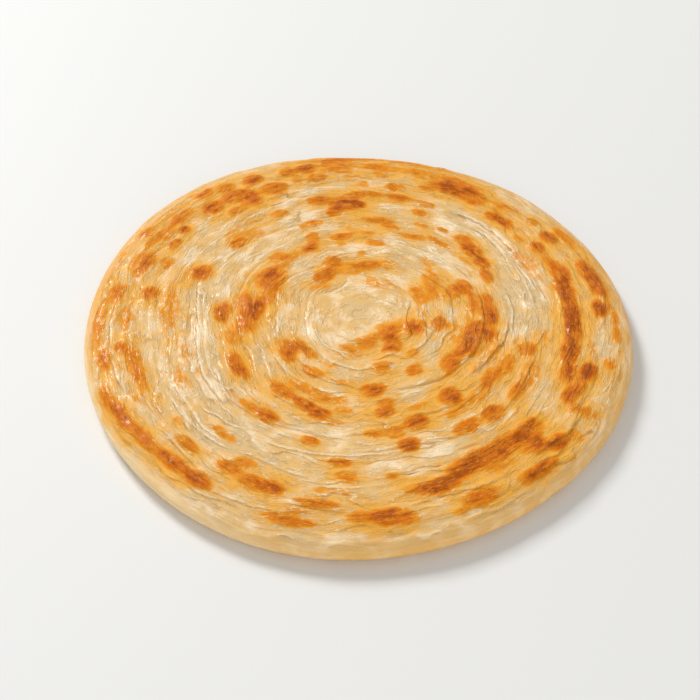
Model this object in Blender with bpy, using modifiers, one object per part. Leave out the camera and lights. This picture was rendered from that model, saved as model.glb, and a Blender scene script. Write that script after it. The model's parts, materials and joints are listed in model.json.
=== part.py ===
"""Paratha: a flaky flatbread coiled from one layered strip of dough.

The bread is one solid. Its half profile is turned round the vertical axis, and
the turned shape then takes the bread's own unevenness: an outline with three
soft lobes, two fuller places and a flatter one, a top that rises and falls a
little, and the ridge and crease of each turn of the coil. Metres, +Z up. The
foot is flat at z = 0, and the origin is the middle of the bread's box on that
plane.
"""
import math

import bpy

# Driving dimensions
MEAN_RADIUS = 0.110
SLAB_HEIGHT = 0.0112

# Rounded side: the shoulder above the widest line, and the curl under it
WIDEST_HEIGHT = 0.0052
SHOULDER_REACH = 0.015
CURL_REACH = 0.006

# Outline: three soft lobes round the rim, then a swell or a flat at some places,
# each as (degrees, depth as a share of the radius, tightness)
LOBES = 3
LOBE_DEPTH = 0.012
LOBE_ANGLE = math.radians(8.0)
SWELLS = [(57.0, 0.024, 10.0), (130.0, 0.021, 8.0), (226.0, -0.012, 10.0)]

# Coil: the strip's turns, wound about a point beside the middle of the bread
TURNS = 8.25
COIL_CENTRE = (0.0065, 0.0015)
COIL_START = math.radians(200.0)
RIDGE_HEIGHT = 0.0016
RIDGE_CREST = 0.62
BUTTON_SHARE = 0.07
PLAIN_RIM_SHARE = 0.93

# Pressing: the ridges stand full here and lie nearly level there
PRESS_MEAN = 0.72
PRESS_SWING = 0.28
PRESS_PATCHES = 3
PRESS_TWIST = 7.0

# Slow rise and fall of the top, where the turns were pressed unevenly
WAVE_HEIGHT = 0.0005
WAVE_LENGTH = 0.085

# Fineness of the faceted solid
STEPS = 88
TOP_RINGS = 40
SHOULDER_POINTS = 6
CURL_POINTS = 4

CRUST_COLOUR = (0.80, 0.56, 0.27, 1.0)
CRUST_ROUGHNESS = 0.55


def clear_scene():
    """Start from an empty scene."""
    for thing in list(bpy.data.objects):
        bpy.data.objects.remove(thing, do_unlink=True)


def smooth_step(low, high, value):
    """Rise from 0 at low to 1 at high, level at both ends."""
    share = min(max((value - low) / (high - low), 0.0), 1.0)
    return share * share * (3.0 - 2.0 * share)


def quarter_arc(centre, reach, rise, start, end, points):
    """Points of an elliptical arc, without its first point."""
    arc = []
    for number in range(1, points + 1):
        angle = start + (end - start) * number / points
        radius = centre[0] + reach * math.cos(angle)
        height = centre[1] + rise * math.sin(angle)
        arc.append((radius, height))
    return arc


def half_profile():
    """Half section, from the middle of the top, over the rim, to the foot."""
    flat_radius = MEAN_RADIUS - SHOULDER_REACH
    foot_radius = MEAN_RADIUS - CURL_REACH
    upper_rise = SLAB_HEIGHT - WIDEST_HEIGHT
    points = [(flat_radius * ring / TOP_RINGS, SLAB_HEIGHT)
              for ring in range(TOP_RINGS + 1)]
    points += quarter_arc((flat_radius, WIDEST_HEIGHT), SHOULDER_REACH, upper_rise,
                          math.pi / 2, 0.0, SHOULDER_POINTS)
    points += quarter_arc((foot_radius, WIDEST_HEIGHT), CURL_REACH, WIDEST_HEIGHT,
                          0.0, -math.pi / 2, CURL_POINTS)
    points.append((0.0, 0.0))
    return points


def turned_mesh(profile):
    """Turn the half section round the vertical axis into a closed mesh."""
    line = bpy.data.meshes.new("half_section")
    edges = [(number, number + 1) for number in range(len(profile) - 1)]
    line.from_pydata([(radius, 0.0, height) for radius, height in profile], edges, [])
    section = bpy.data.objects.new("half_section", line)
    bpy.context.scene.collection.objects.link(section)

    turn = section.modifiers.new("turn", "SCREW")
    turn.axis = "Z"
    turn.angle = 2.0 * math.pi
    turn.steps = STEPS
    turn.render_steps = STEPS
    turn.use_merge_vertices = True
    turn.merge_threshold = 0.00001

    graph = bpy.context.evaluated_depsgraph_get()
    mesh = bpy.data.meshes.new_from_object(section.evaluated_get(graph))
    bpy.data.objects.remove(section, do_unlink=True)
    return mesh


def lobed(angle):
    """How far the outline stands out at an angle, as a share of the mean radius."""
    reach = 1.0 + LOBE_DEPTH * math.cos(LOBES * (angle - LOBE_ANGLE))
    for degrees, depth, tightness in SWELLS:
        reach += depth * math.exp(tightness * (math.cos(angle - math.radians(degrees)) - 1.0))
    return reach


def coil_place(x, y):
    """Share of the way from the coil's centre to the rim, and the angle there.

    The turns are circles whose centres slide from the coil's centre to the
    bread's middle as they grow. The share solves |p - c (1 - share)| = R share.
    """
    centre_x, centre_y = COIL_CENTRE
    reach = MEAN_RADIUS * lobed(math.atan2(y, x))
    offset = centre_x ** 2 + centre_y ** 2
    along = x * centre_x + y * centre_y
    square = offset - reach ** 2
    half_line = along - offset
    rest = x * x + y * y - 2.0 * along + offset
    root = math.sqrt(max(half_line ** 2 - square * rest, 0.0))
    share = (-half_line - root) / square
    slide = 1.0 - share
    angle = math.atan2(y - centre_y * slide, x - centre_x * slide)
    return share, angle


def pressed(share, angle):
    """How much of a ridge is left standing, from the middle to the rim."""
    swing = math.sin(PRESS_PATCHES * angle + PRESS_TWIST * share)
    return PRESS_MEAN + PRESS_SWING * swing


def ridge(x, y):
    """Height of the coil's relief over the mean top at a point."""
    share, angle = coil_place(x, y)
    turn = TURNS * share - (angle - COIL_START) / (2.0 * math.pi)
    place = turn - math.floor(turn)
    if place < RIDGE_CREST:
        swell = math.sin(0.5 * math.pi * place / RIDGE_CREST)
    else:
        swell = math.cos(0.5 * math.pi * (place - RIDGE_CREST) / (1.0 - RIDGE_CREST))
    shown = smooth_step(0.0, BUTTON_SHARE, share)
    shown *= 1.0 - smooth_step(PLAIN_RIM_SHARE, 1.0, share)
    return RIDGE_HEIGHT * pressed(share, angle) * (swell - 0.5) * shown


def wave(x, y):
    """Slow rise and fall of the slab."""
    stretch = 2.0 * math.pi / WAVE_LENGTH
    return WAVE_HEIGHT * math.sin(stretch * x + 0.8) * math.cos(stretch * y - 0.5)


def shape_bread(mesh):
    """Give the turned slab its lobes and relief, then centre its box."""
    for vertex in mesh.vertices:
        x, y, z = vertex.co
        stretch = lobed(math.atan2(y, x))
        x *= stretch
        y *= stretch
        upper = smooth_step(WIDEST_HEIGHT, SLAB_HEIGHT, z)
        z += upper * (ridge(x, y) + wave(x, y))
        vertex.co = (x, y, z)

    xs = [vertex.co.x for vertex in mesh.vertices]
    ys = [vertex.co.y for vertex in mesh.vertices]
    middle_x = (min(xs) + max(xs)) / 2.0
    middle_y = (min(ys) + max(ys)) / 2.0
    for vertex in mesh.vertices:
        vertex.co.x -= middle_x
        vertex.co.y -= middle_y
    mesh.update()


def crust_material():
    """Pale golden crust."""
    material = bpy.data.materials.new("crust")
    material.use_nodes = True
    shader = material.node_tree.nodes["Principled BSDF"]
    shader.inputs["Base Color"].default_value = CRUST_COLOUR
    shader.inputs["Roughness"].default_value = CRUST_ROUGHNESS
    shader.inputs["Metallic"].default_value = 0.0
    return material


def build_bread(collection):
    """The whole bread, one closed solid."""
    mesh = turned_mesh(half_profile())
    mesh.name = "paratha"
    shape_bread(mesh)
    mesh.materials.clear()
    mesh.materials.append(crust_material())
    mesh.shade_smooth()
    bread = bpy.data.objects.new("paratha", mesh)
    collection.objects.link(bread)


def main():
    clear_scene()
    collection = bpy.data.collections.new("paratha_flatbread")
    bpy.context.scene.collection.children.link(collection)
    build_bread(collection)


main()
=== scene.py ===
# %% [markdown]
# # A paratha: coiled, layered and toasted
# A paratha starts as a thin sheet of dough brushed with fat, pleated into a strip,
# wound into a snail and pressed flat. So its face is a coil of turns, each turn is
# a stack of thin leaves seen edge on, and only what touched the pan is brown.
# The frame below is the measured bread. Everything here is finish built over it.

# %% Load the fixed frame
import json
import math
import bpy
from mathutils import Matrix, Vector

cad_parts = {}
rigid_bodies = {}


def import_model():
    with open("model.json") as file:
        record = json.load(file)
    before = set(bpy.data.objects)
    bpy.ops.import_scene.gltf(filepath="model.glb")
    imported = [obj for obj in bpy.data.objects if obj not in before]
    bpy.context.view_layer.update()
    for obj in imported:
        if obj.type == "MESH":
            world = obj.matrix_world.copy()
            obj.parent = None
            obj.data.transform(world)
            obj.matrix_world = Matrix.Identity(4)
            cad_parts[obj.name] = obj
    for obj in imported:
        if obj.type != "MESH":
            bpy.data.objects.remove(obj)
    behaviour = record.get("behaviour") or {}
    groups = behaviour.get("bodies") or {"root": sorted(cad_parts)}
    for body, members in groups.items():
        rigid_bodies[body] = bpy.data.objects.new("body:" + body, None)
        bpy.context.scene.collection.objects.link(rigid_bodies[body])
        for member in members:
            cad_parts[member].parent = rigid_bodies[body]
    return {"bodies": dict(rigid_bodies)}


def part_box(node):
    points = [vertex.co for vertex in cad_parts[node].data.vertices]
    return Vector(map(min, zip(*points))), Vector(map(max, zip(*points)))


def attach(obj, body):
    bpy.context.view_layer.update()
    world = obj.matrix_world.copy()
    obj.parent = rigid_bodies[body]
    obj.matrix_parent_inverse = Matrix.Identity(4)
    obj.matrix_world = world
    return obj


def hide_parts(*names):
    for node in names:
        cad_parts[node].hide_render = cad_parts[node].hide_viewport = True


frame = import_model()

from types import SimpleNamespace

import bpy
import numpy as np
from mathutils import Matrix

MM = 0.001
BODY = next(iter(frame["bodies"]))
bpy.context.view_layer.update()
low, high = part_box("paratha")
print("body:", BODY, "box in mm:", [round(side / MM, 1) for side in high - low])

# %% [markdown]
# ## The camera
# Bread on a table is seen from a seat: about 46 degrees above it, with a long lens
# a bit over half a metre away, so near and far rims differ only a little in size.
# The camera's axes are built by hand, because they also hold a slight roll.

# %% Camera
CAMERA_RISE = math.radians(45.8)
CAMERA_ROLL = math.radians(0.9)
CAMERA_DISTANCE = 0.569
AIM = (-1.2 * MM, 0.2 * MM)
LENS = 72.0
SENSOR = 36.0
SHIFT = (-0.0084, -0.0130)
NEAREST = 0.01


def make_camera():
    """A camera aimed at the bread from -Y, with its small roll and shift."""
    data = bpy.data.cameras.new("camera")
    data.lens = LENS
    data.sensor_width = SENSOR
    data.shift_x, data.shift_y = SHIFT
    data.clip_start = NEAREST
    back = np.array([0.0, -math.cos(CAMERA_RISE), math.sin(CAMERA_RISE)])
    level = np.array([1.0, 0.0, 0.0])
    upright = np.cross(back, level)
    right = level * math.cos(CAMERA_ROLL) + upright * math.sin(CAMERA_ROLL)
    up = upright * math.cos(CAMERA_ROLL) - level * math.sin(CAMERA_ROLL)
    place = back * CAMERA_DISTANCE + np.array([*AIM, 0.0])
    camera = bpy.data.objects.new("camera", data)
    rows = [[right[i], up[i], back[i], place[i]] for i in range(3)]
    camera.matrix_world = Matrix([*rows, [0.0, 0.0, 0.0, 1.0]])
    bpy.context.scene.collection.objects.link(camera)
    bpy.context.scene.camera = camera
    return camera


camera = make_camera()
print("camera at", [round(value, 3) for value in camera.matrix_world.translation])

# %% [markdown]
# ## One class for node maths
# Relief and colour are both rules, and both end up as node trees. Reading a rule is
# easier as an expression, so a Wire stands for one socket: arithmetic on wires adds
# the Math nodes that do it. The same class serves shaders and Geometry Nodes.


# %% A wire is one socket of a node tree
class Wire:
    """One socket, with the sums and curves that can be written on it."""

    def __init__(self, tree, socket=None):
        self.tree = tree
        self.socket = socket

    def node(self, kind, settings=None, sockets=None, out=0):
        """Add a node: its settings first, then its sockets, as values or wires."""
        made = self.tree.nodes.new(kind)
        for name, value in (settings or {}).items():
            setattr(made, name, value)
        for name, value in (sockets or {}).items():
            if isinstance(value, Wire):
                self.tree.links.new(value.socket, made.inputs[name])
            else:
                made.inputs[name].default_value = value
        return Wire(self.tree, made.outputs[out] if made.outputs else None)

    def maths(self, operation, *values):
        """One Math node."""
        sockets = dict(enumerate(values))
        return self.node("ShaderNodeMath", {"operation": operation}, sockets)

    def __add__(self, other):
        return self.maths("ADD", self, other)

    def __radd__(self, other):
        return self.maths("ADD", other, self)

    def __sub__(self, other):
        return self.maths("SUBTRACT", self, other)

    def __rsub__(self, other):
        return self.maths("SUBTRACT", other, self)

    def __mul__(self, other):
        return self.maths("MULTIPLY", self, other)

    def __rmul__(self, other):
        return self.maths("MULTIPLY", other, self)

    def __truediv__(self, other):
        return self.maths("DIVIDE", self, other)

    def __pow__(self, other):
        return self.maths("POWER", self, other)

    def part(self):
        """The part after the decimal point."""
        return self.maths("FRACT", self)

    def size(self):
        """The value without its sign."""
        return self.maths("ABSOLUTE", self)

    def step(self, start, end):
        """0 below start, 1 above end, smooth between; start may be the larger."""
        settings = {"interpolation_type": "SMOOTHSTEP"}
        sockets = {"Value": self, "From Min": start, "From Max": end}
        return self.node("ShaderNodeMapRange", settings, sockets)


def mixed(factor, first, second):
    """Colour between two colours; the factor is a wire."""
    sockets = {0: factor, 6: first, 7: second}
    return factor.node("ShaderNodeMix", {"data_type": "RGBA"}, sockets, out=2)


# %% [markdown]
# ## The coil's rule
# The turns are circles whose centres slide from the coil's own centre, a little to
# the right of the middle, to the bread's middle as they grow. Each point therefore
# has a share of the way out and an angle, and both together say which turn it is on.
# The rim isn't a true circle either: hands left it three soft lobes, two fuller
# places and a flatter one.

# %% Sizes of the bread
LOBES = 3
LOBE_DEPTH = 0.012
LOBE_ANGLE = math.radians(8.0)
SWELLS = [(57.0, 0.024, 10.0), (130.0, 0.021, 8.0), (226.0, -0.012, 10.0)]
COIL_CENTRE = (6.5 * MM, 1.5 * MM)
COIL_START = math.radians(200.0)
TURNS = 8.25


def lobed(angle):
    """How far the outline stands out at an angle, as a share of its mean."""
    reach = 1.0 + LOBE_DEPTH * np.cos(LOBES * (angle - LOBE_ANGLE))
    for degrees, depth, tightness in SWELLS:
        reach += depth * np.exp(tightness * (np.cos(angle - math.radians(degrees)) - 1.0))
    return reach


sweep = np.radians(np.arange(0.0, 360.0, 0.25))
outline_x = lobed(sweep) * np.cos(sweep)
outline_y = lobed(sweep) * np.sin(sweep)
MEAN_RADIUS = (high.x - low.x) / np.ptp(outline_x)
MIDDLE_X = MEAN_RADIUS * (outline_x.max() + outline_x.min()) / 2
MIDDLE_Y = MEAN_RADIUS * (outline_y.max() + outline_y.min()) / 2
print("mean radius in mm:", round(MEAN_RADIUS / MM, 1))

# %% Share of the way out, and angle about the coil
def coil_place(x, y):
    """Share of the way from the coil's centre to the rim, and the angle there."""
    centre_x, centre_y = COIL_CENTRE
    reach = MEAN_RADIUS * lobed(np.arctan2(y, x))
    offset = centre_x ** 2 + centre_y ** 2
    along = x * centre_x + y * centre_y
    square = offset - reach ** 2
    half_line = along - offset
    rest = x * x + y * y - 2.0 * along + offset
    root = np.sqrt(np.maximum(half_line ** 2 - square * rest, 0.0))
    share = (-half_line - root) / square
    slide = 1.0 - share
    return share, np.arctan2(y - centre_y * slide, x - centre_x * slide)


# %% [markdown]
# ## The plain slab
# The relief needs an even net of points to move. It is a half section turned round
# the axis, as rings. A ring has twice as many points each time its radius doubles,
# so that the faces stay long along the coil and short across it, like the leaves.

# %% The half section's rings
SLAB_HEIGHT = 11.2 * MM
WIDEST_HEIGHT = 5.2 * MM
SHOULDER_REACH = 15.0 * MM
CURL_REACH = 6.0 * MM
RING_STEP = 0.5 * MM
FOOT_STEP = 2.2 * MM
TOP_POINTS = 512
FOOT_POINTS = 256
FEWEST_POINTS = 32
ARC_OVER_CHORD = 1.12


def arc_rings(reach, rise, centre, start, end):
    """Rings along an elliptical arc of the half section, first one left out."""
    count = round(math.hypot(reach, rise) * ARC_OVER_CHORD / RING_STEP)
    turns = np.linspace(start, end, count + 1)[1:]
    return [(centre[0] + reach * math.cos(turn), centre[1] + rise * math.sin(turn))
            for turn in turns]


def ring_points(radius, most):
    """Points in a ring: halved each time the radius halves."""
    points = most
    edge = MEAN_RADIUS / 2
    while radius < edge and points > FEWEST_POINTS:
        points //= 2
        edge /= 2
    return points


def slab_rings():
    """(radius, height, points) of every ring, from the middle of the top to the foot's."""
    flat = MEAN_RADIUS - SHOULDER_REACH
    foot = MEAN_RADIUS - CURL_REACH
    top = [(radius, SLAB_HEIGHT) for radius in np.arange(RING_STEP * 2, flat, RING_STEP)]
    shoulder = arc_rings(SHOULDER_REACH, SLAB_HEIGHT - WIDEST_HEIGHT,
                         (flat, WIDEST_HEIGHT), math.pi / 2, 0.0)
    curl = arc_rings(CURL_REACH, WIDEST_HEIGHT, (foot, WIDEST_HEIGHT), 0.0, -math.pi / 2)
    under = [(radius, 0.0) for radius in np.arange(foot - FOOT_STEP, FOOT_STEP, -FOOT_STEP)]
    upper = [(r, z, ring_points(r, TOP_POINTS)) for r, z in top + shoulder + curl]
    lower = [(r, z, ring_points(r, FOOT_POINTS)) for r, z in under]
    return upper, lower


upper_rings, lower_rings = slab_rings()
rings = upper_rings + lower_rings
print("rings:", len(upper_rings), "above the foot and", len(lower_rings), "under it")


# %% Faces between two rings
def band(first, first_points, second, second_points):
    """Faces from one ring to the next, which may have twice or half its points."""
    faces = []
    if first_points == second_points:
        for k in range(first_points):
            n = (k + 1) % first_points
            faces.append((first + k, second + k, second + n, first + n))
    elif first_points < second_points:
        for k in range(first_points):
            n = (k + 1) % first_points
            a, b, c = second + 2 * k, second + 2 * k + 1, second + (2 * k + 2) % second_points
            faces += [(first + k, a, b), (first + k, b, first + n), (first + n, b, c)]
    else:
        for k in range(second_points):
            n = (k + 1) % second_points
            a, b, c = first + 2 * k, first + 2 * k + 1, first + (2 * k + 2) % first_points
            faces += [(a, second + k, b), (b, second + k, second + n), (b, second + n, c)]
    return faces


def slab_mesh():
    """The closed slab, with each point's ring number."""
    points, numbers, starts = [(0.0, 0.0, SLAB_HEIGHT)], [0], []
    for number, (radius, height, count) in enumerate(rings):
        starts.append(len(points))
        for angle in 2 * math.pi * np.arange(count) / count:
            reach = radius * lobed(angle)
            points.append((reach * math.cos(angle), reach * math.sin(angle), height))
        numbers += [number] * count
    points.append((0.0, 0.0, 0.0))
    numbers.append(len(rings) - 1)
    first, last = starts[0], starts[-1]
    first_points, last_points = rings[0][2], rings[-1][2]
    faces = [(0, first + k, first + (k + 1) % first_points) for k in range(first_points)]
    for k in range(len(rings) - 1):
        faces += band(starts[k], rings[k][2], starts[k + 1], rings[k + 1][2])
    end = len(points) - 1
    faces += [(last + k, end, last + (k + 1) % last_points) for k in range(last_points)]
    mesh = bpy.data.meshes.new("layered_bread")
    mesh.from_pydata(points, [], faces)
    mesh.shade_smooth()
    return mesh, np.array(numbers)


slab, ring_numbers = slab_mesh()
slab_co = np.array([vertex.co for vertex in slab.vertices])
print("slab:", len(slab.vertices), "points,", len(slab.polygons), "faces")

# %% [markdown]
# ## A map to unroll the bread on
# A baked finish needs the surface laid flat. A disc is the natural map: the face
# with its rim becomes a large disc, the foot a small one in the free corner. Each
# disc is its middle and its radius, on a map that is 1 wide and 1 high.

# %% The unrolled map
FACE_DISC = (0.405, 0.595, 0.40)
FOOT_DISC = (0.815, 0.185, 0.17)
ON_AXIS = 1e-7


def unroll(mesh):
    """Give the slab its own map: one disc for face and rim, one for the foot."""
    heights = np.array([(r, z) for r, z, _ in rings])
    steps = np.hypot(*np.diff(np.vstack([(0.0, SLAB_HEIGHT), heights]), axis=0).T)
    length = np.cumsum(steps)
    edge = len(upper_rings) - 1
    corners = np.empty(len(mesh.loops), int)
    mesh.loops.foreach_get("vertex_index", corners)
    totals = np.array([face.loop_total for face in mesh.polygons])
    under = np.array([ring_numbers[list(face.vertices)].max() > edge
                      for face in mesh.polygons])
    under = np.repeat(under, totals)
    angle = np.arctan2(slab_co[corners, 1], slab_co[corners, 0])
    radius = np.hypot(slab_co[corners, 0], slab_co[corners, 1])
    out_face = np.where(radius < ON_AXIS, 0.0, length[ring_numbers[corners]] / length[edge])
    out_foot = radius / rings[edge][0]
    x0, y0, wide = FACE_DISC
    x1, y1, small = FOOT_DISC
    u = np.where(under, x1 - small * out_foot * np.cos(angle), x0 + wide * out_face * np.cos(angle))
    v = np.where(under, y1 + small * out_foot * np.sin(angle), y0 + wide * out_face * np.sin(angle))
    layer = mesh.uv_layers.new(name="OFBake")
    layer.data.foreach_set("uv", np.stack([u, v], 1).astype(np.float32).ravel())
    print("map spans:", round(float(u.min()), 3), "to", round(float(u.max()), 3), "across and",
          round(float(v.min()), 3), "to", round(float(v.max()), 3), "up")


unroll(slab)

# %% [markdown]
# ## Where the pan touched
# Brown spots sit where the dough bulged onto the hot pan, so they are longer along
# the coil than across it, and the darkest bulged the most. A cook could point them
# out one by one; here each is a row: distance out, angle, half length along the
# coil, half width across it (mm, degrees, mm, mm), and how brown it went, 0 to 1.
# A row with less than 0 is a place that stayed off the pan, paler than round it.

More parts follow.
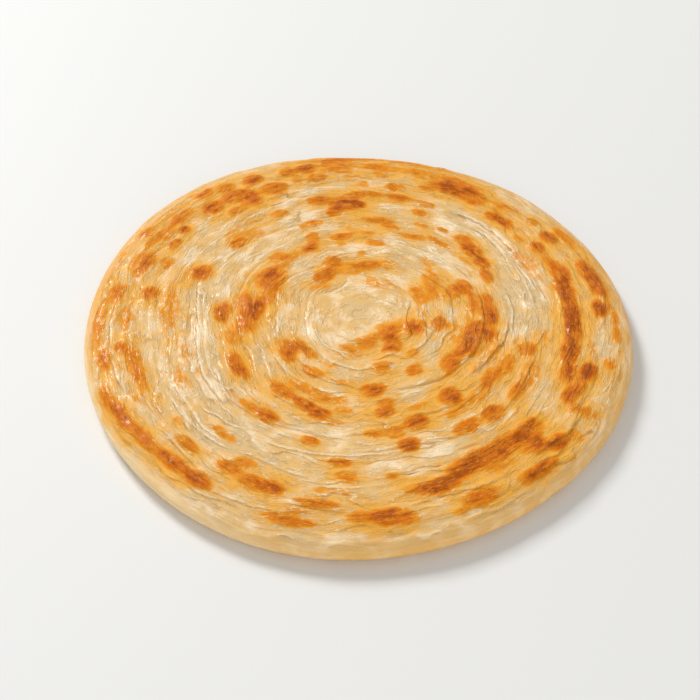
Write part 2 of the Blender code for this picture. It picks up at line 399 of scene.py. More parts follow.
# %% Toasted spots, from the middle out
SPOTS = [
    # the middle
    (24, -7, 5, 4, 1), (15, -29, 4.5, 4.2, 0.85), (20, -44, 5, 3.8, 0.85), (12, -68, 5, 3.8, 0.6),
    (12, -20, 6, 5, 0.35), (33.5, -2, 5, 4, 0.75), (31, 31, 6, 5.4, 0.62), (28.5, -38, 3.5, 3, 0.45),
    (34.6, -49, 4.2, 3.2, 0.8), (31.3, 209, 5, 3.5, 0.7), (27, 212, 4.5, 3.5, 0.65),
    (26, 225, 3.5, 2.5, 0.45), (30.5, 117, 5.5, 3.6, 0.8), (36.5, 107, 4.5, 3.8, 0.72),
    (31, 95, 8.5, 3.8, 0.62), (33.5, 81, 5.5, 2.6, 0.68), (38.5, 67, 6, 2, 0.4),
    (40, 87, 3.5, 2.2, 0.5), (26, 125, 8, 4, 0.4), (24, 66, 10, 4, 0.4), (11, 165, 9, 8, -0.7),
    (19, 8, 3.5, 2.5, 0.3), (6, 130, 3, 2.5, 0.4), (24, 235, 12, 5, 0.22), (32.5, 239, 6, 2.8, 0.6),
    (26, 251, 3, 2, 0.4), (33.5, 262, 6, 2.2, 0.4), (16.5, 266, 6, 4.4, 0.55), (27, 10, 6, 3, 0.3),
    (39, 38, 5.5, 4, 0.5), (43.5, 24, 4.6, 3.5, 0.7), (36.5, 26, 5, 3.6, 0.45), (40, -8, 6, 4, 0.4),
    (18, -14, 5, 4, 0.5), (27, -68, 5, 3.8, 0.62), (33.5, 217, 5, 3.2, 0.62), (35, 72, 4.5, 2.4, 0.5),
    (14, 52, 6, 4.5, -0.35),
    # the second and third turns
    (37.7, -79.5, 5.5, 4, 0.95), (45.5, 52, 7, 2.4, 0.4), (48.5, 25, 5.5, 3.8, 0.7),
    (43, 45, 5, 2.2, 0.25), (49.5, 15, 5.5, 2.8, 0.6), (45.5, 6, 5, 2.6, 0.3), (43, 176, 11, 5.2, 0.86),
    (40.5, 172, 5, 3, 0.8), (47.5, 164, 4.5, 2.6, 0.45), (43, 146, 8, 6.4, 0.78), (38, 159, 7, 4, 0.62),
    (44.4, 143, 3.5, 3, 0.6), (50, 132, 5.5, 3.2, 0.55), (47, 124, 4, 2.2, 0.45),
    (54, 176, 6.5, 3.6, 0.88), (49, 190, 7, 4.2, 0.6), (52.4, 209, 8.5, 3.4, 0.92),
    (47.2, 234, 7, 3.6, 0.72), (48.5, 246, 5, 3, 0.85), (50.6, 254, 5.5, 3, 1), (54, 259, 9, 2.2, 0.5),
    (43, 257, 9, 3, 0.5), (41, 240, 8, 3, 0.5), (48, 265, 4.5, 2.2, 0.5), (45.5, -75, 4.5, 3.2, 0.7),
    (50, -77, 4.5, 3.4, 0.8), (51, -62, 5, 2.2, 0.5), (53.6, -47.8, 5.4, 4.4, 0.98),
    (48.5, -5.5, 6.5, 5.2, 0.95), (46, -17, 7.5, 4.8, 0.9), (42.5, -29, 6.5, 4.2, 0.68),
    (45, -35, 5, 3, 0.5), (54.2, 5, 7.5, 3.8, 1), (54, -6, 4.5, 3.2, 0.7), (54.8, 15, 4, 3, 0.65),
    (47.4, 115, 4, 3, 0.88), (53, 111, 3.6, 4, 0.72), (46.6, 99, 3, 2, 0.5), (51.4, 98, 5.5, 2.4, 0.7),
    (52.5, 89, 5.5, 2.2, 0.5), (56.5, 93, 3, 2.2, 0.4), (48, 81, 4.5, 2.8, 0.6), (54, 84, 3, 1.8, 0.45),
    (46, 131, 5, 3.4, 0.5), (47.5, 169, 5, 3, 0.6), (48.8, 9, 4.5, 3, 0.55), (57.5, 63, 3.4, 2.4, 0.5),
    (57, 142, 10, 3.6, -0.3), (57, 195, 12, 3, -0.3), (55.5, 34, 7, 3.6, -0.3), (55, -16, 9, 4, 0.42),
    (52, -28, 8, 3, 0.25),
    # the fourth and fifth turns
    (58.7, 76, 4.5, 2.3, 0.7), (56, 68, 4.5, 1.8, 0.6), (62.5, 82.5, 7.5, 2.6, 0.72),
    (60, 58, 2.4, 1.6, 0.5), (59, 54, 7, 2.6, 0.5), (58.3, 39, 4, 3, 0.45), (60.5, 27, 4.8, 3, 0.7),
    (67, 48, 5, 3.2, 0.8), (65, 42, 6, 3.8, 1), (63.4, 34.5, 5, 3.2, 0.85), (65, 65, 4, 2, 0.6),
    (72, 68.5, 4.2, 2.4, 0.78), (67, 57, 3.5, 1.7, 0.5), (57.8, -66.5, 5.5, 3.8, 0.95),
    (60, -75.5, 4.5, 3.2, 0.65), (59.4, -83, 4, 2.6, 0.6), (67, -72.6, 4.2, 3.6, 0.8),
    (63, -21, 6, 3.4, 0.7), (60, -29, 6.5, 4, 0.7), (61, -38, 7, 3.6, 0.55), (60, -50, 8, 3.4, 0.45),
    (69, -11.5, 4.5, 4.2, 0.8), (72, -31, 5.5, 3, 0.7), (75, -5, 4.5, 2.6, 0.42),
    (73, -22, 8, 4.5, 0.5), (80, 27, 14, 5, 0.36), (70.8, -42.5, 6, 4.4, 0.82),
    (69.2, -52.6, 6.5, 3.8, 0.82), (68, -70, 9, 4, 0.25), (60.7, 237, 5.5, 3, 0.88),
    (61, 229, 6, 2.4, 0.6), (65, 255.5, 4.2, 2.8, 0.72), (73.2, 266, 5, 2.6, 0.82),
    (79, -92, 4.5, 2.6, 0.72), (80.2, -80, 3.5, 2, 0.6), (69.5, 157, 5.2, 4.4, 0.88),
    (74, 159, 4, 3, 0.4), (67.5, 138, 4.6, 3.4, 0.65), (73, 135, 7, 5.5, 0.4), (62, 109, 6, 3.2, 0.68),
    (73, 118, 4.8, 2.6, 0.62), (73, 94, 7.5, 5.6, 0.95), (71.8, 91, 4.5, 2.6, 1),
    (68, 98.5, 4.5, 3.4, 0.75), (76, 103, 6, 3.4, 0.78), (75, 178, 11, 4.5, 0.5),
    (92, 180, 9, 3.6, 0.5), (75, 206, 9, 4, 0.42), (75.5, 247, 6, 2.6, 0.25), (69, 194, 9, 5, 0.26),
    (67, 207, 12, 6, 0.24), (78, 168, 8, 4, 0.3), (67, 130, 5, 4.5, 0.36), (61, 173, 14, 2.6, -0.3),
    (79, 4, 8, 3.2, -0.3), (72, 222, 22, 6, -0.25),
    # the sixth turn
    (79, 77, 5.5, 2.8, 1), (79.2, 87, 9, 2.2, 0.75), (85.5, 79, 5, 2.8, 0.6), (86, 89, 4, 2.6, 0.5),
    (85.5, 113, 3.5, 2.6, 0.4), (87.8, 48, 5, 3.2, 0.95), (88.3, 44, 5, 3.2, 0.85),
    (78.5, 68, 6, 2.6, 0.5), (88.8, 31, 4.5, 3.2, 0.85), (88.6, 25.5, 5, 2.4, 0.5),
    (89.7, 19.5, 8, 4.4, 0.88), (87.8, 13, 9, 4.4, 0.9), (87.2, 5, 9, 4.2, 0.95),
    (86.5, -2, 9, 4, 0.95), (85.6, -10, 8, 4.2, 1), (86.3, -18, 6, 3.6, 0.95),
    (90.4, -25, 5, 3.6, 0.85), (92, -21.5, 4.5, 3, 0.8), (94, -16, 6, 3.8, 1), (77, 231, 7, 2.6, 0.62),
    (89.8, 226.5, 7, 2.8, 0.72), (83.5, 242, 5, 3, 0.6), (88.5, 239, 5.5, 3, 0.72),
    (90, 246, 7, 3.4, 0.85), (89.8, 251, 5.5, 3.6, 1), (88.5, 214, 8, 2.4, 0.42),
    (85.3, 219.5, 3.5, 1.8, 0.45), (87, 265, 9, 2.2, 0.45), (93, 262, 9, 2.6, 0.78),
    (86, -41, 7.5, 4.6, 0.95), (84.6, -49, 8.5, 4.8, 0.92), (84.3, -56, 8, 4.6, 1),
    (84.6, -62, 7, 4.4, 0.92), (88.7, -69, 9, 4, 0.98), (87.5, -75, 6, 2.6, 0.6),
    (91.5, -44, 6, 3.4, 0.62), (91, -54, 8, 3.4, 0.5), (88.6, 150.4, 4.2, 2.6, 0.9),
    (91, 144.3, 3.4, 2.6, 0.9), (85.2, 170.5, 4.6, 4, 0.82), (85.6, 157.5, 4.5, 3, 0.6),
    (89.3, 122.5, 4.6, 7, 0.82), (90.3, 114.5, 6.5, 4.8, 0.72), (89.5, 197, 10, 3.8, 0.66),
    (93.4, 190.5, 4.5, 3.2, 0.75), (89, 203.5, 7, 2.8, 0.5), (89.2, 70.3, 4.5, 2.8, 0.6),
    (85, 128, 5, 3.2, 0.58), (93.5, 164, 9, 2.4, 0.4), (92.6, 207.7, 3.5, 2.8, 0.45),
    (82, 270, 3, 2.2, 0.4), (93.5, 48.5, 4.5, 3, 0.4), (82, 96, 7, 1.8, -0.3), (90, 208, 26, 5, -0.2),
    (90, 120.5, 3.5, 7, 0.45),
    # the outer turns, up to the rim
    (94, 67, 6, 4.2, 0.8), (93.5, 62, 8, 5.4, 1), (92.5, 56.5, 6, 4.6, 0.8), (96.6, 32.6, 5, 3.6, 1),
    (98, 46, 6, 2.6, 0.4), (97.3, 39.5, 4, 2.6, 0.6), (98.5, 84, 10, 3.5, 0.62),
    (97.5, 74, 8, 3.4, 0.66), (91, 92, 5, 2, 0.5), (100.5, 95.5, 10, 5, 0.62), (95.5, 96, 6, 3, 0.5),
    (93.5, 84, 4, 3, 0.5), (103, 31, 8, 2.6, 0.75), (100.5, 18.5, 7, 3.8, 0.95),
    (101.5, 13, 7.5, 4, 0.85), (85.6, 37, 3.5, 2.6, 0.5), (98.6, 5.5, 5.5, 3.2, 1),
    (94, -7.5, 5, 2.6, 0.4), (101.5, -12, 4, 3, 0.62), (104, -3, 5, 2, 0.45),
    (94.6, -28.5, 3.4, 2.6, 0.6), (99.5, -28, 3.8, 3, 0.62), (93.5, -43, 4.5, 4, 0.85),
    (97, -39.2, 5, 3.8, 1), (101, -46, 7, 2.6, 0.78), (100, -50, 8, 2.8, 0.82),
    (98.8, -62.5, 8.5, 3.8, 0.85), (101.4, -68, 3.5, 1.4, 0.55), (98, -82, 7.5, 4.2, 1),
    (97.5, -88, 6.5, 3.2, 0.75), (101.5, 257, 11, 2.4, 0.78), (103.3, 204, 8, 2.8, 0.65),
    (101.4, 210.5, 9, 3.2, 0.88), (99.8, 219, 10, 3.2, 0.82), (98.8, 228, 8.5, 3.4, 0.9),
    (99.2, 235.5, 7, 3.2, 1), (100.6, 193, 7, 3.4, 0.78), (102.5, 181, 16, 2.8, 0.5),
    (95, 160, 8, 5.8, 0.68), (98.6, 171.5, 7, 3.6, 0.72), (98, 152, 5.5, 2.8, 0.58),
    (98, 141, 9, 3.4, 0.68), (93, 132.8, 5.5, 4.8, 0.88), (102, 131, 5, 3, 0.88),
    (93.8, 126, 6, 4.4, 0.88), (100.5, 125.5, 5, 3, 0.66), (99.5, 118.3, 5.5, 3.6, 0.85),
    (98.8, 104, 5, 3.8, 0.98), (98.5, 109, 4.5, 3.2, 0.78), (92, 101.5, 5, 3.4, 0.7),
    (92.5, 107, 3, 4, 0.5), (104.5, 139, 24, 2.8, 0.4), (105.5, 97, 22, 3, 0.5),
    (105.5, 74, 18, 2.6, 0.45), (103.5, 3, 9, 2.6, 0.35), (104, 150, 4, 2.8, 0.58),
    (96, 148, 4.5, 3.6, 0.66), (99.5, -78, 4, 2.8, 0.6), (97, 258, 6, 2.2, 0.4), (100, -35, 4, 3, 0.55),
    (104.5, 12, 26, 2.6, 0.32), (105, 85, 20, 3, 0.32), (104, -28, 20, 2.6, 0.28),
    (99.5, 66, 8, 3, 0.6), (98.5, 59, 7, 3, 0.5), (96, 50, 7, 2.2, 0.42), (105, 160, 16, 2.4, 0.34),
    (104.5, 184, 16, 2.6, 0.2), (96, 90, 16, 3, 0.2),
]
# In half sizes of a spot: how far it is full, and where it has faded out
CORE, FADE = 0.6, 1.42
# The share of the brown that goes to the very middle, and the most that one spot gives
PEAK, MOST_BROWN = 0.3, 0.99
# How much wider the golden halo lies round a spot
HALO = 2.0


def toasted(x, y, spread=1.0):
    """Brownness over the face: the spots, each full in its core and fading out."""
    radius = np.hypot(x, y)
    angle = np.arctan2(y, x)
    pale = np.ones_like(x)
    for out, degrees, half_length, half_width, brown in SPOTS:
        turn = angle - math.radians(degrees)
        turn = (turn + math.pi) % (2 * math.pi) - math.pi
        away = np.hypot(turn * radius / half_length, (radius - out * MM) / half_width)
        away /= spread * MM
        fall = np.clip((FADE - away) / (FADE - CORE), 0.0, 1.0)
        body = fall * fall * (3 - 2 * fall) * (1.0 - PEAK) + np.maximum(1.0 - away, 0.0) * PEAK
        pale *= 1.0 - min(brown, MOST_BROWN) * body
    return 1.0 - pale


print("toasted spots:", len(SPOTS))

# %% [markdown]
# ## Where the leaves parted
# Baking pulls a few neighbouring leaves apart. Each parting is a line round part of
# a turn: one side's lip stands up, the other sinks, and a thin dark cut lies between.
# A line is a few (distance out, angle) pairs, joined up and fading away at both ends.

# %% Partings between leaves
INNER, OUTER = 1.0, -1.0
PARTINGS = [
    # how open, 0 to 1, which side stands up, then the line
    (0.95, INNER, [(69, 160), (65.8, 171), (63.4, 182), (65, 197), (66.7, 210), (67.2, 225)]),
    (0.6, INNER, [(60.8, 168), (61, 184), (62, 195), (63.5, 214)]),
    (0.9, INNER, [(67, 150), (65.3, 140), (63.5, 124), (62.5, 110), (63.5, 92)]),
    (0.7, INNER, [(82, 139), (79.5, 125), (81.5, 110), (84, 98)]),
    (0.7, INNER, [(86.5, 119), (85.5, 104), (84, 90)]),
    (0.95, OUTER, [(79.1, 60), (79.8, 51), (79.9, 44), (78.5, 36), (76.5, 27)]),
    (0.7, OUTER, [(75.5, 52), (75, 44), (73.5, 35), (71, 26)]),
    (1.0, INNER, [(61.5, 4), (59.5, -9), (57, -16), (54.4, -25), (52, -34)]),
    (0.9, INNER, [(28, 8), (28.5, -8), (30.5, -26)]),
    (0.7, INNER, [(21, 52), (22, 40), (25.5, 28)]),
    (0.95, OUTER, [(79.5, -84), (80.3, -72), (79.6, -60), (79.6, -47), (82.5, -36), (87, -27)]),
    (0.8, INNER, [(96.5, 166), (98.2, 180), (98.2, 194), (96.6, 206)]),
    (0.6, INNER, [(101, 235), (100, 250), (97, 264)]),
    (0.6, INNER, [(105, 92), (105, 78)]),
    (0.6, INNER, [(38, 60), (40, 84), (40.5, 112)]),
    (0.6, INNER, [(36, 190), (38, 214), (40, 240)]),
    (0.6, OUTER, [(50, 285), (49, 304), (47, 324)]),
    (0.6, INNER, [(65, 216), (63.5, 236), (61.4, 252), (62, 270)]),
    (0.6, INNER, [(72, 240), (70.5, 262), (69.5, 288)]),
    (0.6, OUTER, [(91.5, 276), (93, 288), (95, 300)]),
    (0.5, INNER, [(95, 8), (95.5, 22), (97, 36), (98, 52)]),
    (0.5, INNER, [(57, 122), (55.5, 142), (56, 160)]),
    (0.5, OUTER, [(64, -32), (64.5, -48), (64.5, -62)]),
    (0.5, INNER, [(73, 5), (74, 18), (75, 30)]),
    (0.5, INNER, [(82, 208), (83, 222), (82, 236)]),
    (0.4, OUTER, [(43, -50), (43, -66), (44, -88)]),
]
END_LENGTH = 7.0 * MM
PARTING_REACH = 2.2 * MM
print("partings:", len(PARTINGS))


def parted(x, y):
    """How far the most open parting near is, over 0 on its raised side, and how open."""
    radius = np.hypot(x, y)
    angle = np.arctan2(y, x)
    gap = np.full_like(x, PARTING_REACH)
    opening = np.zeros_like(x)
    for most, side, line in PARTINGS:
        line = sorted((math.radians(degrees), out * MM) for out, degrees in line)
        turns, outs = np.array(line).T
        middle = (turns[0] + turns[-1]) / 2
        turn = (angle - middle + math.pi) % (2 * math.pi) - math.pi + middle
        away = (np.interp(turn, turns, outs) - radius) * side
        inside = np.minimum(turn - turns[0], turns[-1] - turn) * radius / END_LENGTH
        shown = most * np.clip(inside, 0.0, 1.0)
        shown *= np.clip(2.0 - np.abs(away) / PARTING_REACH, 0.0, 1.0)
        gap = np.where(shown > opening, away, gap)
        opening = np.maximum(opening, shown)
    return gap, opening


# %% [markdown]
# ## Values written on the slab
# Relief and colour must agree about what lies where. So each rule is worked out once
# for every point of the slab and stored on it, and both node trees read it there. The
# foot met the pan too, and takes the same spots turned over, so that it is toasted as
# much as the face. The side never touched the pan, so the spots fade out towards it.

# %% Write the rules' values on the slab's points
def write_values(mesh, name, values):
    """Store one number for each point, for the node trees to read."""
    attribute = mesh.attributes.new(name, "FLOAT", "POINT")
    attribute.data.foreach_set("value", np.asarray(values, np.float32))


def smooth(start, end, value):
    """0 at start, 1 at end, level at both."""
    share = np.clip((value - start) / (end - start), 0.0, 1.0)
    return share * share * (3 - 2 * share)


# The strands loosen towards the middle, within this share of the way out
LOOSE_SHARE = 0.3
FACE_FULL = SLAB_HEIGHT * 0.97
FOOT_FADES = (0.8, 0.99)
TOAST_RISES = (3 * MM, 8 * MM)
SURELY_FACE = 0.9


def mark_slab(mesh):
    """Coil, toast, partings and the face, side and foot of the slab."""
    x, y, z = slab_co.T
    share, angle = coil_place(x, y)
    edge = len(upper_rings) - 1
    below = ring_numbers >= edge
    face = np.where(below, 0.0, smooth(WIDEST_HEIGHT, FACE_FULL, z))
    foot = np.where(below, 1.0 - smooth(*FOOT_FADES, np.hypot(x, y) / MEAN_RADIUS), 0.0)
    upper = smooth(*TOAST_RISES, z)
    gap, opening = parted(x, y)
    toast = np.where(below, toasted(y, x) * foot, toasted(x, y) * upper)
    halo = np.where(below, toasted(y, x, HALO) * foot, toasted(x, y, HALO) * upper)
    write_values(mesh, "turn", TURNS * share - (angle - COIL_START) / (2 * math.pi))
    loosened = share - LOOSE_SHARE * (1.0 - np.exp(-share / LOOSE_SHARE))
    write_values(mesh, "strand", loosened * MEAN_RADIUS - z)
    write_values(mesh, "share", share)
    write_values(mesh, "face", face)
    write_values(mesh, "foot", foot)
    write_values(mesh, "toast", toast)
    write_values(mesh, "halo", halo)
    write_values(mesh, "gap", gap)
    write_values(mesh, "opening", opening * face)
    print("toasted share of the face:", round(float(toast[face > SURELY_FACE].mean()), 2))


mark_slab(slab)

# %% [markdown]
# ## Relief by Geometry Nodes
# The coil's shape is a rule, so a node tree moves the slab's points by it. First it
# lets the strands wander, since no hand winds evenly. Every turn then rises to its
# outer lip and drops to the next, leaves repeat that in small, and toasted spots
# bulge. The tree stores the wandering lines too, so the finish follows the same leaves.
# The unevenness is noise of two kinds: strands, drawn out along the coil as the dough
# was, and clouds, as wide one way as the other.

# %% The noises of the relief and the finish
# Strands: length along the coil, width across it, detail and seed
STRANDS = {
    "turn_open": (30 * MM, 13 * MM, 1.0, 11.0),
    "shuffle": (22 * MM, 7 * MM, 1.0, 5.0),
    "leaf_open": (20 * MM, 5 * MM, 1.0, 17.0),
    "swell": (24 * MM, 5 * MM, 2.0, 23.0),
    "ripple": (9 * MM, 2.0 * MM, 3.0, 29.0),
    "wrinkle": (11 * MM, 1.3 * MM, 1.0, 73.0),
    "hair": (5.5 * MM, 1.0 * MM, 1.0, 79.0),
    "streak": (9 * MM, 1.8 * MM, 3.0, 41.0),
    # painted glints: short light gold flecks on toasted dough
    "spark": (2.4 * MM, 0.8 * MM, 1.0, 89.0),
    "oil": (2.4 * MM, 0.9 * MM, 2.0, 59.0),
    # this one's width is counted in leaves, because each leaf has its own tone
    "tone": (16 * MM, 0.37, 1.0, 5.0),
}
# Clouds: width, detail and seed
CLOUDS = {
    "wander": (36 * MM, 1.0, 3.0),
    "crinkle": (13 * MM, 2.0, 7.0),
    "dimples": (5 * MM, 2.0, 37.0),
    "blister": (2.6 * MM, 2.0, 31.0),
    "wobble": (5 * MM, 3.0, 61.0),
    "jitter": (4.0 * MM, 3.0, 71.0),
    "torn": (4.5 * MM, 3.0, 83.0),
    "mottle": (3.6 * MM, 2.0, 43.0),
    "fleck": (1.1 * MM, 2.0, 47.0),
    "broad": (22 * MM, 2.0, 53.0),
    "warmth": (7 * MM, 3.0, 57.0),
}
print("noises:", len(STRANDS), "along the coil and", len(CLOUDS), "in clouds")


def strands(x, y, line, name):
    """Noise drawn out along the coil, by its name."""
    along, across, detail, seed = STRANDS[name]
    place = {0: x / along, 1: y / along, 2: line / across + seed}
    vector = x.node("ShaderNodeCombineXYZ", None, place)
    sockets = {"Vector": vector, "Scale": 1.0, "Detail": detail}
    return x.node("ShaderNodeTexNoise", None, sockets)


def clouds(place, name):
    """Noise as wide one way as the other, by its name."""
    wide, detail, seed = CLOUDS[name]
    sockets = {0: place, 1: (1 / wide,) * 3, 2: (seed,) * 3}
    vector = place.node("ShaderNodeVectorMath", {"operation": "MULTIPLY_ADD"}, sockets)
    sockets = {"Vector": vector, "Scale": 1.0, "Detail": detail}
    return place.node("ShaderNodeTexNoise", None, sockets)


def swing(noise, most):
    """A noise about its middle, so that it adds as often as it takes away."""
    return (noise - 0.5) * most


def varied(value, field, swings):
    """A value made uneven by named noises of the field, each by its most."""
    for name, most in swings.items():
        value = value + swing(getattr(field, name), most)
    return value


def summed(field, weights):
    """Named values of the field, each times its weight, added in turn."""
    total = 0.0
    for name, weight in weights.items():
        total = total + getattr(field, name) * weight
    return total


# %% Helpers for geometry trees
def stored(bench, name):
    """A value stored on the points, read in a geometry tree."""
    return bench.node("GeometryNodeInputNamedAttribute", {"data_type": "FLOAT"}, {"Name": name})


def start_tree(name, sizes):
    """An empty geometry tree with a named input for each size, and its wires."""
    tree = bpy.data.node_groups.new(name, "GeometryNodeTree")
    tree.interface.new_socket("Geometry", in_out="INPUT", socket_type="NodeSocketGeometry")
    tree.interface.new_socket("Geometry", in_out="OUTPUT", socket_type="NodeSocketGeometry")
    for label, value in sizes.items():
        socket = tree.interface.new_socket(label, in_out="INPUT", socket_type="NodeSocketFloat")
        socket.default_value = value
    source = tree.nodes.new("NodeGroupInput")
    wires = {socket.name: Wire(tree, socket) for socket in source.outputs if socket.name}
    return tree, wires


def end_tree(tree, geometry, material):
    """Realize what the tree made, give it its material and hand it out."""
    solid = geometry.node("GeometryNodeRealizeInstances", None, {"Geometry": geometry})
    dressed = solid.node("GeometryNodeSetMaterial", None, {"Geometry": solid, "Material": material})
    target = tree.nodes.new("NodeGroupOutput")
    tree.links.new(dressed.socket, target.inputs[0])


def grown(name, mesh, tree, sizes):
    """Run a tree on a mesh with these sizes, and keep the result as a plain mesh."""
    carrier = bpy.data.objects.new(name, mesh)
    bpy.context.scene.collection.objects.link(carrier)
    modifier = carrier.modifiers.new(name, "NODES")
    modifier.node_group = tree
    for item in tree.interface.items_tree:
        if item.in_out == "INPUT" and item.name in sizes:
            modifier[item.identifier] = sizes[item.name]
    graph = bpy.context.evaluated_depsgraph_get()
    plain = bpy.data.meshes.new_from_object(carrier.evaluated_get(graph))
    carrier.modifiers.remove(modifier)
    carrier.data = plain
    plain.name = name
    plain.transform(Matrix.Translation((-MIDDLE_X, -MIDDLE_Y, 0.0)))
    return carrier


# %% Sizes of the relief
RELIEF = {
    "Wander": 8.0 * MM,
    "Crinkle": 3.0 * MM,
    "Turn rise": 0.7 * MM,
    "Leaf rise": 0.55 * MM,
    "Swell": 1.1 * MM,
    "Ripple": 1.0 * MM,
    "Dimples": 0.5 * MM,
    "Toast bulge": 0.5 * MM,
    "Blister height": 0.3 * MM,
    "Lip height": 0.42 * MM,
    "Parting depth": 0.3 * MM,
    "Parting wobble": 2.2 * MM,
    "Side ripple": 0.6 * MM,
    "Foot ripple": 0.35 * MM,
}
TURN_WIDTH = MEAN_RADIUS / TURNS
LEAF_WIDTH = 4.4 * MM
# Turns wander more than leaves do and crinkle less, and leaves start unevenly
TURN_WANDER, TURN_CRINKLE = 1.4, 0.7
LEAF_SHUFFLE = 4.0
# The share of a turn's or leaf's width that its drop takes, and how late it rises
TURN_DROP, LEAF_DROP = 0.07, 0.16
RISE_CURVE = 1.4
# The values between which each thing sets in, from nothing to whole
TURNS_OPEN, TURNS_START = (0.40, 0.60), (0.10, 0.32)
LEAVES_OPEN = (0.46, 0.60)
BLISTERS = (0.42, 0.68)
PARTING_STEP = (-0.3 * MM, 0.3 * MM)
FACE_RISES = (0.1, 1.0)
SIDE_RISES = (0.0, 4 * MM)
FOOT_RISES = (-0.2, 0.3)


def saw(place, drop):
    """A rise along each leaf to its lip, then a short drop to the next."""
    return place ** RISE_CURVE * (1.0 - place.step(1.0 - drop, 1.0))


def relief_tree(material):
    """The tree that turns the slab into a coil of leaves."""
    tree, size = start_tree("coil_relief", RELIEF)
    bench = size["Geometry"]
    position = bench.node("GeometryNodeInputPosition")
    x, y, z = (bench.node("ShaderNodeSeparateXYZ", None, {0: position}, out=i) for i in range(3))
    turn, strand, share, face, foot, toast, gap, opening = (stored(bench, name) for name in (
        "turn", "strand", "share", "face", "foot", "toast", "gap", "opening"))

    wander = swing(clouds(position, "wander"), size["Wander"])
    crinkle = swing(clouds(position, "crinkle"), size["Crinkle"])
    line = strand + wander + crinkle
    turn_line = turn + (wander * TURN_WANDER + crinkle * TURN_CRINKLE) / TURN_WIDTH
    turn_open = strands(x, y, strand, "turn_open").step(*TURNS_OPEN)
    turn_open = turn_open * share.step(*TURNS_START)
    leaf_line = line / LEAF_WIDTH + strands(x, y, line, "shuffle") * LEAF_SHUFFLE
    leaf_open = strands(x, y, line, "leaf_open").step(*LEAVES_OPEN)

    swell = strands(x, y, line, "swell") - 0.5
    ripple = strands(x, y, line, "ripple") - 0.5
    dimples = clouds(position, "dimples") - 0.5
    blister = clouds(position, "blister").step(*BLISTERS) * toast
    gap = gap + swing(clouds(position, "wobble"), size["Parting wobble"])
    raised = gap.step(*PARTING_STEP) * opening

    on_face = (saw(turn_line.part(), TURN_DROP) * turn_open * size["Turn rise"]
               + saw(leaf_line.part(), LEAF_DROP) * leaf_open * size["Leaf rise"]
               + swell * size["Swell"] + ripple * size["Ripple"] + dimples * size["Dimples"]
               + toast * size["Toast bulge"] + blister * size["Blister height"]
               + raised * size["Lip height"] - (opening - raised) * size["Parting depth"])
    on_side = (swell + ripple) * size["Side ripple"] * (1.0 - face) * z.step(*SIDE_RISES)
    on_foot = ripple.step(*FOOT_RISES) * foot * size["Foot ripple"] * -1.0
    height = on_face * face.step(*FACE_RISES) + on_side + on_foot

    marked = bench
    for name, value in (("line", line), ("turn_line", turn_line), ("turn_open", turn_open),
                        ("leaf_line", leaf_line), ("leaf_open", leaf_open), ("gap", gap / MM),
                        ("rise", height / MM)):
        marked = bench.node("GeometryNodeStoreNamedAttribute", {"data_type": "FLOAT"},
                            {"Geometry": marked, "Name": name, "Value": value})
    normal = bench.node("GeometryNodeInputNormal")
    offset = bench.node("ShaderNodeVectorMath", {"operation": "SCALE"},
                        {0: normal, "Scale": stored(bench, "rise") * MM})
    moved = bench.node("GeometryNodeSetPosition", None, {"Geometry": marked, "Offset": offset})
    end_tree(tree, moved, material)
    return tree


# %% [markdown]
# ## The colours of the dough
# Cooked dough is cream and a little see-through where only steam reached it, golden
# where fat fried it, and orange to brown where it met the pan. Browning isn't one
# colour getting darker: its hue moves from yellow to red on the way, so the colours
# along it are given one by one and mixed in turn.

# %% Colours, given as they look on screen
def tint(red, green, blue):
    """Screen colour, 0 to 255, as the linear colour a shader wants."""
    def linear(value):
        value /= 255
        return value / 12.92 if value <= 0.04045 else ((value + 0.055) / 1.055) ** 2.4
    return (linear(red), linear(green), linear(blue), 1.0)


# the dough where it didn't brown
CLEAR = tint(222, 187, 132)
BUTTER = tint(232, 187, 117)
CREAM = tint(250, 224, 184)
# pale dough with a painted highlight, for lips and raised hairs
PALE_LIP_HIGHLIGHT = tint(255, 236, 200)
# painted shade: the colour of the dark lines in creases, cracks and under lips
CREASE_SHADE = tint(172, 120, 54)
# the side
SIDE_PALE = tint(234, 184, 108)
SIDE_GOLD = tint(240, 164, 58)
SIDE_CREAM = tint(252, 222, 172)
# from fried to toasted
GOLD = tint(238, 172, 64)
AMBER = tint(234, 152, 34)
ORANGE = tint(216, 116, 12)
BROWN = tint(166, 76, 4)
DARK_BROWN = tint(118, 46, 2)
print("darkest toast, linear:", [round(value, 3) for value in DARK_BROWN[:3]])

# %% [markdown]
# ## What the finish reads
# The finish follows the same lines as the relief, so it reads the values that the
# relief tree stored. A fine jitter frays those lines, as torn leaves do. The coil
# shows in full on the face, and less on the foot, which the pan pressed flat.

# %% Stored values and noises, as wires
STORED = ("line", "turn_line", "turn_open", "leaf_line", "leaf_open", "toast", "halo",
          "gap", "opening", "face", "foot")
# The jitter's reach in mm, and the values between which a lip is torn away or left
JITTER = 0.8
TORN = (0.38, 0.52)
FACE_SHOWS = (0.4, 1.0)
FOOT_SHOWS = 0.8


def read_fields(bench):
    """Everything that the finish reads, under its own name."""
    field = SimpleNamespace()
    field.place = bench.node("ShaderNodeTexCoord", None, None, "Object")
    field.x, field.y, field.z = (
        bench.node("ShaderNodeSeparateXYZ", None, {0: field.place}, out=i) for i in range(3))
    for name in STORED:
        wire = bench.node("ShaderNodeAttribute", {"attribute_name": name}, None, "Fac")
        setattr(field, name, wire)
    for name in ("mottle", "fleck", "broad", "warmth"):
        setattr(field, name, clouds(field.place, name))
    field.torn = clouds(field.place, "torn").step(*TORN)
    field.jitter = swing(clouds(field.place, "jitter"), JITTER) * MM
    field.fine_line = field.line + field.jitter
    for name in ("wrinkle", "hair", "streak", "spark", "oil"):
        setattr(field, name, strands(field.x, field.y, field.fine_line, name))
    field.coiled = field.face.step(*FACE_SHOWS) + field.foot * FOOT_SHOWS
    return field
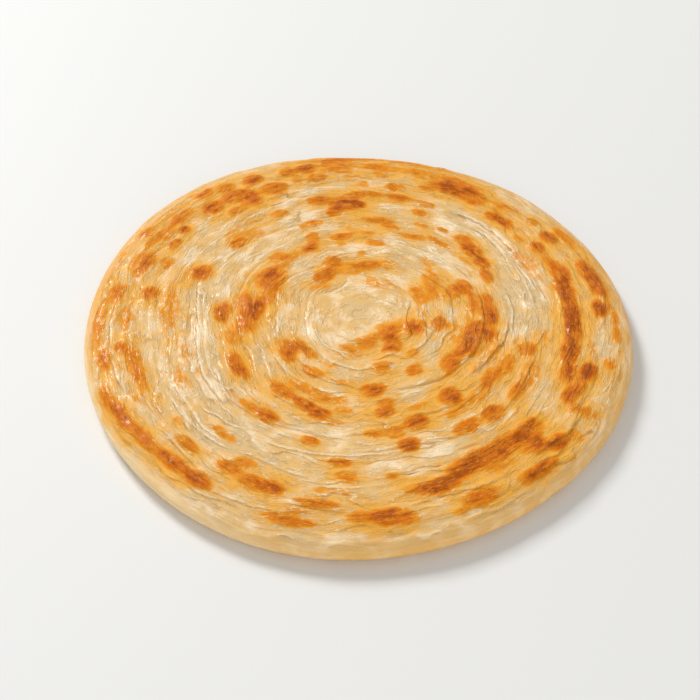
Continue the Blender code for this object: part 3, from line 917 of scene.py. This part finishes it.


# %% [markdown]
# ## Lines of the leaves
# A leaf's lip is thin, so it dries pale, and its colour also carries a painted highlight; a
# thin dark line of painted shade and fat lies under it. Turns show the same in large.
# Between them are fine creases in painted shade, raised hairs of dough with a painted
# highlight, and the partings, each with a crack in painted shade and a pale lip with a
# painted highlight beside it.

# %% Pale lines with a painted highlight, dark lines of painted shade
# Across a leaf or a turn, 0 to 1: where a line starts and where it ends. A dark line
# starts at the end of one leaf and ends on the next.
LEAF_PALE = (0.66, 0.86), (0.88, 0.93)
LEAF_DARK = (0.90, 0.95), (0.0, 0.10)
TURN_PALE = (0.84, 0.94), (0.95, 0.97)
TURN_DARK = (0.96, 0.985), (0.0, 0.05)
# From a parting's line, in mm: its lip, and how its crack fades
PARTING_LIP = (0.1, 0.4), (0.7, 1.8)
CRACK = (0.08, 0.4)
# How far a noise may be from its middle in a crease or on a ridge
CREASE_WIDTH, RIDGE_WIDTH = 0.05, 0.08
CREASED = (0.50, 0.60)


def stripe(place, start, end):
    """1 between start and end, fading at both."""
    return place.step(*start) * (1.0 - place.step(*end))


def seam(place, start, end):
    """1 from start over the edge to end on the next leaf."""
    return place.step(*start) + 1.0 - place.step(*end)


def thread(noise, width):
    """1 along the thin lines where a noise crosses its middle."""
    return 1.0 - (noise - 0.5).size().step(0.0, width)


def draw_lines(field):
    """Add the leaves' and turns' lines, the creases, ridges and partings: masks for painted highlight
    and painted shade.
    """
    leaf_open = field.leaf_open * field.coiled
    turn_open = field.turn_open * field.coiled
    turn_place = (field.turn_line + field.jitter / TURN_WIDTH).part()
    leaf_count = field.leaf_line + field.jitter / LEAF_WIDTH
    leaf_place = leaf_count.part()
    field.tone = strands(field.x, field.y, leaf_count - leaf_place, "tone")
    # lips of leaves and turns: pale dough with a painted highlight; their dark lines: painted shade
    # with some fat
    field.pale_edge = stripe(leaf_place, *LEAF_PALE) * leaf_open * field.torn
    field.dark_edge = seam(leaf_place, *LEAF_DARK) * leaf_open
    field.turn_dark = seam(turn_place, *TURN_DARK) * turn_open
    field.turn_pale = stripe(turn_place, *TURN_PALE) * turn_open * field.torn
    # creases and cracks are painted shade; raised hairs get a painted highlight
    field.crease = thread(field.wrinkle, CREASE_WIDTH) * field.streak.step(*CREASED) * field.coiled
    field.ridge = thread(field.hair, RIDGE_WIDTH) * field.torn * field.coiled
    field.crack = (1.0 - field.gap.size().step(*CRACK)) * field.opening * field.face
    field.lip = stripe(field.gap, *PARTING_LIP) * field.opening


# %% [markdown]
# ## Dough that didn't brown
# Each leaf has its own tone, from clear and buttery to cream. The side was steamed
# more than fried. It is painted lighter, cream, on the left where the light falls, and
# deeper on the right, with golden high on the far side, all in uneven blotches. Lips are
# the palest, with a painted highlight.

# %% The pale dough
# The values between which each tone comes in, and the blotches' reach in mm
BUTTERY, CREAMY = (0.30, 0.56), (0.44, 0.74)
BUTTER_SWINGS, CREAM_SWINGS = {"broad": 0.8}, {"warmth": 0.6}
BLOTCH = 80.0
BLOTCH_UP = 0.06
# From painted light on the left, where the side is cream, to its deeper colour on the right, in mm of x
LIT_SIDE_SPAN = (-90 * MM, 5 * MM)
GOLD_BACK, GOLD_UP = (-40 * MM, 25 * MM), (2 * MM, 8 * MM)
SIDE_STREAKS, SIDE_STREAKED = (-0.1, 0.3), 0.5
# How much of the pale colour, with its painted highlight, goes on raised hairs and on lips
RIDGE_PALE, LIPS_PALE = 0.5, 0.68


def pale_dough(field):
    """Colour of the dough before it browns, with a painted highlight on lips and hairs and painted
    light on the side's left.
    """
    base = mixed(varied(field.tone, field, BUTTER_SWINGS).step(*BUTTERY), CLEAR, BUTTER)
    base = mixed(varied(field.tone, field, CREAM_SWINGS).step(*CREAMY), base, CREAM)
    blotch = swing(field.broad, BLOTCH) * MM
    # painted light: the side is cream on the left, where the light falls, and deeper on the right
    side = mixed((field.x + blotch).step(*LIT_SIDE_SPAN), SIDE_CREAM, SIDE_PALE)
    golden = (field.y + blotch).step(*GOLD_BACK) * (field.z + blotch * BLOTCH_UP).step(*GOLD_UP)
    side = mixed(golden, side, SIDE_GOLD)
    streaked = (field.streak + field.warmth - 1.0).step(*SIDE_STREAKS)
    side = mixed(streaked * SIDE_STREAKED, side, SIDE_CREAM)
    base = mixed(1.0 - field.face - field.foot * FOOT_SHOWS, base, side)
    # lips and raised hairs: pale dough with a painted highlight
    pale = (field.pale_edge + field.turn_pale + field.lip + field.ridge * RIDGE_PALE).step(0.0, 1.0)
    return mixed(pale * LIPS_PALE, base, PALE_LIP_HIGHLIGHT)


# %% [markdown]
# ## Frying and toasting
# Round each spot the fat fried the dough golden, and in it the pan toasted it. Noise
# makes both uneven, and breaks the toast up most where it is strongest, because the
# leaves' tops took the heat and the hollows between them stayed paler. Over it lie dark
# lines of painted shade, a painted highlight on raised hairs and painted glints of gold.

# %% From gold to brown
# The values between which each colour comes in, and how fully it covers
FRIED_GOLD = (0.17, 1.10), 0.92
TOASTING = [(AMBER, (0.18, 0.50), 1.0), (ORANGE, (0.40, 0.88), 1.0), (BROWN, (0.80, 1.16), 0.9)]
DARKEST = (1.15, 1.45), 0.5
NEAR_TOAST = (0.0, 0.5)
# Painted glints: where the light gold flecks go, from how much toast, and how fully they cover
GLINT_PAINT, GLINT_PAINT_START, GLINT_PAINT_COVER = (0.60, 0.70), (0.1, 0.5), 0.35
# What warms the dough round a spot, how much gold raised hairs lose as a painted highlight, and what
# makes that warmth uneven
HALO_WARMS, RIDGE_HIGHLIGHT_IN_GOLD = 1.1, 0.2
WARM_SWINGS = {"warmth": 1.5, "streak": 0.9, "broad": 1.0}
# How strongly a spot browns, how much lighter raised hairs are painted in it as a highlight, and how it
# is broken up, at least and more with the toast
TOAST_BROWNS, RIDGE_HIGHLIGHT_IN_TOAST = 1.17, 0.22
BREAKUP_SWINGS = {"mottle": 0.8, "streak": 0.9, "tone": 0.4}
BROKEN_LEAST, BROKEN_MORE = 0.3, 0.8
# Dark lines of painted shade, with some fat under the lips: under leaves and turns, in creases and in
# cracks
SHADE_LINES = {"dark_edge": 0.2, "turn_dark": 0.25, "crease": 0.25, "crack": 0.45}


def browned_dough(field, base):
    """Colour of the dough after frying and toasting, with its dark lines of painted shade, a painted
    highlight on raised hairs and painted glints.
    """
    # raised hairs keep less gold: a painted highlight
    heat = field.halo * HALO_WARMS - field.ridge * RIDGE_HIGHLIGHT_IN_GOLD
    warm = varied(heat, field, WARM_SWINGS)
    breakup = varied(0.0, field, BREAKUP_SWINGS) * (BROKEN_LEAST + field.toast * BROKEN_MORE)
    breakup = breakup * field.halo.step(*NEAR_TOAST)
    # raised hairs keep less toast: painted highlight flecks in the spots
    fried = field.toast * TOAST_BROWNS + breakup - field.ridge * RIDGE_HIGHLIGHT_IN_TOAST
    between, cover = FRIED_GOLD
    browned = mixed(warm.step(*between) * cover, base, GOLD)
    for colour, between, cover in TOASTING:
        browned = mixed(fried.step(*between) * cover, browned, colour)
    # painted shade along the dark lines
    browned = mixed(summed(field, SHADE_LINES), browned, CREASE_SHADE)
    between, cover = DARKEST
    browned = mixed(fried.step(*between) * cover, browned, DARK_BROWN)
    # painted glints of light gold in the toast
    spark = field.spark.step(*GLINT_PAINT) * field.face
    return mixed(spark * fried.step(*GLINT_PAINT_START) * GLINT_PAINT_COVER, browned, GOLD)


# %% [markdown]
# ## Oil and grain
# Fat stays on fried dough in small strands that glint, so it is a coat over a duller
# crust. Lines that are too fine for the relief are a bump: lips and hairs up, creases
# and cracks down. A little light goes into the dough, as it does into crumb.

# %% The dough's material
OIL, OIL_MOST, OIL_ROUGHNESS = (0.48, 0.60), 0.25, 0.16
DULL, DULL_FLECKS = 0.36, 0.2
BUMP_STRENGTH, BUMP_HEIGHT = 0.6, 0.6 * MM
SOAK, SOAK_COLOURS, SOAK_DEPTH = 0.08, (1.0, 0.6, 0.3), 0.8 * MM
CRUST_IOR, CRUST_SPECULAR = 1.45, 0.12
GRAIN = {"leaf_edge": 0.5, "streak": 1.0, "wrinkle": 0.5, "hair": 0.4, "fleck": 0.3,
         "ridge": 0.6, "crack": -0.6}


def fine_grain(field):
    """Height of the lines that are too fine for the relief."""
    field.leaf_edge = (field.pale_edge + field.turn_pale - field.dark_edge - field.turn_dark
                       - field.crease)
    return summed(field, GRAIN)


def dough_material():
    """Cream to brown by the toast mask, with leaves, creases and oil."""
    material = bpy.data.materials.new("toasted_dough")
    material.use_nodes = True
    tree = material.node_tree
    tree.nodes.clear()
    bench = Wire(tree)
    field = read_fields(bench)
    draw_lines(field)
    colour = browned_dough(field, pale_dough(field))
    bump = bench.node("ShaderNodeBump", None, {
        "Strength": BUMP_STRENGTH, "Distance": BUMP_HEIGHT, "Height": fine_grain(field)})
    shader = bench.node("ShaderNodeBsdfPrincipled", None, {
        "Base Color": colour, "Roughness": DULL + field.fleck * DULL_FLECKS, "Normal": bump,
        "Coat Weight": field.oil.step(*OIL) * OIL_MOST, "Coat Roughness": OIL_ROUGHNESS,
        "Subsurface Weight": SOAK, "Subsurface Radius": SOAK_COLOURS,
        "Subsurface Scale": SOAK_DEPTH, "IOR": CRUST_IOR, "Specular IOR Level": CRUST_SPECULAR})
    bench.node("ShaderNodeOutputMaterial", None, {"Surface": shader})
    print("finish:", len(tree.nodes), "nodes")
    return material


# %% Grow the bread
dough = dough_material()
bread = grown("layered_bread", slab, relief_tree(dough), RELIEF)
print("bread:", len(bread.data.polygons), "faces")

# %% [markdown]
# ## Floor and light
# A plain pale floor carries the bread, and soft light falls from behind left, low
# enough to rake across the leaves. A dim fill keeps the near side from going dark.

# %% The floor
FLOOR_HALF = 3.0
FLOOR_DROP = 0.0001
FLOOR_COLOUR = tint(232, 232, 230)
FLOOR_ROUGHNESS = 0.6


def make_floor():
    """A plain pale floor just under the foot."""
    half = FLOOR_HALF
    mesh = bpy.data.meshes.new("floor")
    corners = [(-half, -half), (half, -half), (half, half), (-half, half)]
    mesh.from_pydata([(x, y, -FLOOR_DROP) for x, y in corners], [], [(0, 1, 2, 3)])
    floor = bpy.data.objects.new("floor", mesh)
    bpy.context.scene.collection.objects.link(floor)
    material = bpy.data.materials.new("floor_paint")
    material.use_nodes = True
    shader = material.node_tree.nodes["Principled BSDF"]
    shader.inputs["Base Color"].default_value = FLOOR_COLOUR
    shader.inputs["Roughness"].default_value = FLOOR_ROUGHNESS
    mesh.materials.append(material)
    print("floor:", 2 * half, "m wide")


# %% The lights
# Each light: where it hangs and how wide it is in metres, and its power in watts
WINDOW = ((-1.4, 1.9, 1.9), 0.9, 70.0)
FILL = ((0.6, -2.2, 1.4), 2.4, 26.0)
SKY_COLOUR, SKY_STRENGTH = (1.0, 0.99, 0.97, 1.0), 0.42


def make_light(name, place, wide, power):
    """A soft square light, aimed at the bread."""
    data = bpy.data.lights.new(name, "AREA")
    data.size = wide
    data.energy = power
    light = bpy.data.objects.new(name, data)
    back = np.array(place) / np.linalg.norm(place)
    right = np.cross([0.0, 0.0, 1.0], back)
    right /= np.linalg.norm(right)
    up = np.cross(back, right)
    rows = [[right[i], up[i], back[i], place[i]] for i in range(3)]
    light.matrix_world = Matrix([*rows, [0.0, 0.0, 0.0, 1.0]])
    bpy.context.scene.collection.objects.link(light)
    print(name, "light:", round(float(np.linalg.norm(place)), 2), "m away")


def make_sky():
    """Even pale light from everywhere."""
    world = bpy.data.worlds.new("sky")
    world.use_nodes = True
    background = world.node_tree.nodes["Background"]
    background.inputs["Color"].default_value = SKY_COLOUR
    background.inputs["Strength"].default_value = SKY_STRENGTH
    bpy.context.scene.world = world


make_floor()
make_light("window", *WINDOW)
make_light("fill", *FILL)
make_sky()
bpy.context.scene.view_settings.view_transform = "Standard"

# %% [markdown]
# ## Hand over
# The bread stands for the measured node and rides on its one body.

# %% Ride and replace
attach(bread, BODY)
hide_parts("paratha")
